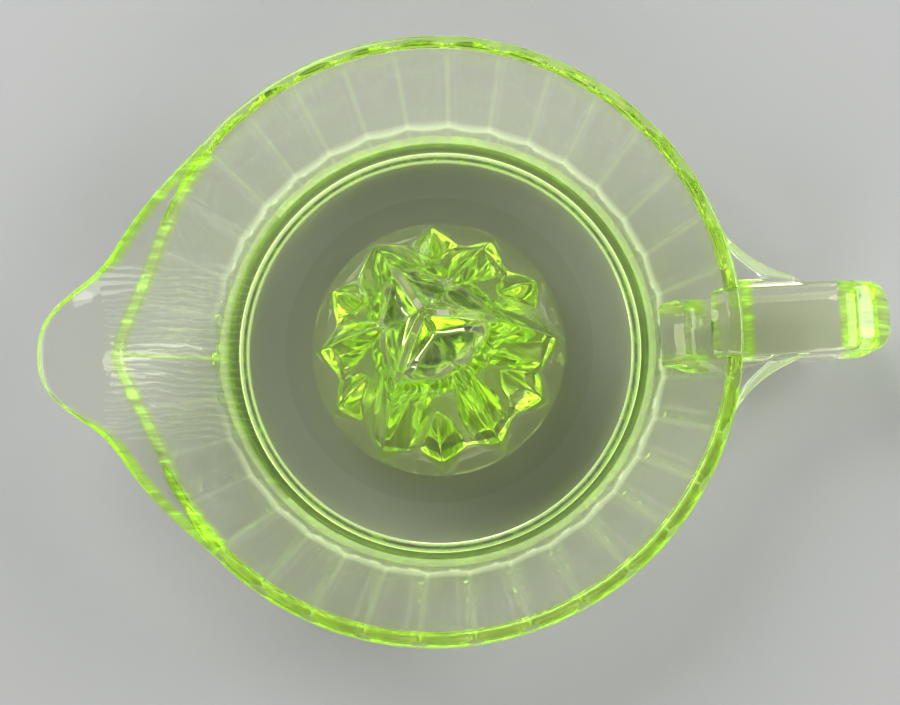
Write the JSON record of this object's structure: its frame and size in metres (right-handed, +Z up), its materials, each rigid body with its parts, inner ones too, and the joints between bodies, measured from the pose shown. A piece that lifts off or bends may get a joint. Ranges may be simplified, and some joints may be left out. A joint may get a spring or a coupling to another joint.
{
  "type": "glass citrus reamer",
  "caption": "Pressed glass citrus reamer with a panelled bowl, foot ring, pouring spout, loop handle and a hollow ridged cone in the juice well.",
  "frame": {"origin": "bowl axis at the table, in the plane of the foot ring's resting face", "axes": "+Z up along the cone, +X towards the handle, -X towards the spout"},
  "size_m": [0.214, 0.152, 0.08],
  "materials": {
    "uranium_glass": "fire-polished, transparent"
  },
  "bodies": {
    "root": {"foot_ring": "uranium_glass", "well_floor": "uranium_glass", "bowl_wall": "uranium_glass", "rim_collar": "uranium_glass", "pouring_spout": "uranium_glass", "handle_top_bar": "uranium_glass", "handle_bend": "uranium_glass", "handle_lower_bar": "uranium_glass", "handle_web_left": "uranium_glass", "handle_web_right": "uranium_glass", "cone_core": "uranium_glass", "cone_tip": "uranium_glass", "long_blade_1": "uranium_glass", "long_blade_2": "uranium_glass", "long_blade_3": "uranium_glass", "middle_ridge_1": "uranium_glass", "middle_ridge_2": "uranium_glass", "middle_ridge_3": "uranium_glass", "short_ridge_1": "uranium_glass", "short_ridge_2": "uranium_glass", "short_ridge_3": "uranium_glass", "short_ridge_4": "uranium_glass", "short_ridge_5": "uranium_glass", "short_ridge_6": "uranium_glass"}
  },
  "joints": []
}
